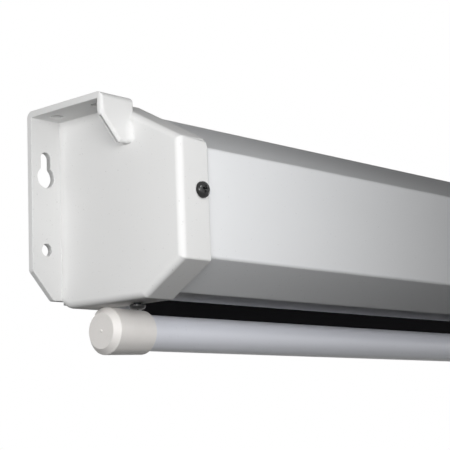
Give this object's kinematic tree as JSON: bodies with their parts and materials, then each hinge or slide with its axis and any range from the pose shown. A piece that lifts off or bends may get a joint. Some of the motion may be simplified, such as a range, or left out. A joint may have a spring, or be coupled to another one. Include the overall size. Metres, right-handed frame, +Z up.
{
  "type": "projection screen",
  "caption": "Pull-down projection screen: long white case with chamfered front, hollow end caps with wall ear and ceiling flange, spring roller, black-bordered fabric and round weight bar.",
  "frame": {"origin": "on the flat back of the case, at its mid length and mid height", "axes": "+X along the case to the viewer's right, -Y away from the wall towards the viewer, +Z up"},
  "size_m": [1.7114, 0.1023, 0.1786],
  "materials": {
    "white_paint": "satin white powder coat",
    "white_cap": "satin white powder coat",
    "bar_paint": "satin light grey paint",
    "cap_plastic": "moulded, light warm grey",
    "nickel": "bright nickel plate",
    "zinc": "zinc plated",
    "spring_steel": "oiled spring wire",
    "dark_plastic": "black moulded",
    "nylon": "natural nylon",
    "beech": "turned beech",
    "screen_cloth": "matt white, coated",
    "black_cloth": "matt black border"
  },
  "bodies": {
    "case": {"case_shell": "white_paint", "left_end_cap": "white_cap", "right_end_cap": "white_cap", "left_front_screw": "nickel", "left_bottom_screw": "nickel", "right_front_screw": "nickel", "right_bottom_screw": "nickel", "left_roller_bracket": "zinc", "right_roller_bracket": "zinc", "idle_bush": "nylon", "spring_spindle": "zinc", "ratchet_wheel": "zinc", "spring_core": "beech", "torsion_spring": "spring_steel", "screen_fabric": "black_cloth", "left_bracket_screw_1": "zinc", "left_bracket_screw_2": "zinc", "left_bracket_screw_3": "zinc", "left_bracket_screw_4": "zinc", "right_bracket_screw_1": "zinc", "right_bracket_screw_2": "zinc", "right_bracket_screw_3": "zinc", "right_bracket_screw_4": "zinc"},
    "roller": {"roller_tube": "zinc", "spring_end_plug": "dark_plastic", "spring_anchor_plug": "dark_plastic", "idle_end_plug": "dark_plastic", "idle_pin": "nickel", "rear_pawl_pin": "zinc", "front_pawl_pin": "zinc", "wound_fabric": "screen_cloth"},
    "bar": {"bar_tube": "bar_paint", "left_bar_cap": "cap_plastic", "right_bar_cap": "cap_plastic", "hem_rod": "cap_plastic", "bail_saddle": "white_paint", "saddle_screw_1": "nickel", "saddle_screw_2": "nickel"},
    "rear_pawl": {"rear_pawl": "zinc"},
    "front_pawl": {"front_pawl": "zinc"},
    "bail": {"pull_bail": "nickel"}
  },
  "joints": [
    {"name": "roller_turn", "type": "hinge", "parent": "case", "child": "roller", "pos_m": [0, -0.0486, 0], "axis": [-1, 0, 0], "range_deg": [0, 4320], "stiffness_Nm_per_rad": 0.0012, "springref_deg": -12605.07},
    {"name": "screen_drop", "type": "slide", "parent": "case", "child": "bar", "axis": [0, 0, -1], "range_m": [0, 1.6], "deforming": ["screen_fabric"]},
    {"name": "rear_pawl_swing", "type": "hinge", "parent": "roller", "child": "rear_pawl", "pos_m": [-0.8055, -0.0351, -0.0071], "axis": [1, 0, 0], "range_deg": [0, 13]},
    {"name": "front_pawl_swing", "type": "hinge", "parent": "roller", "child": "front_pawl", "pos_m": [-0.8055, -0.06209, 0.0071], "axis": [1, 0, 0], "range_deg": [0, 13]},
    {"name": "bail_swing", "type": "hinge", "parent": "bar", "child": "bail", "pos_m": [0, -0.0244, -0.0892], "axis": [1, 0, 0], "range_deg": [-80, 80]}
  ],
  "couplings": [
    {"joint": "screen_drop", "follows": "roller_turn", "m_per_rad": 0.02122}
  ]
}
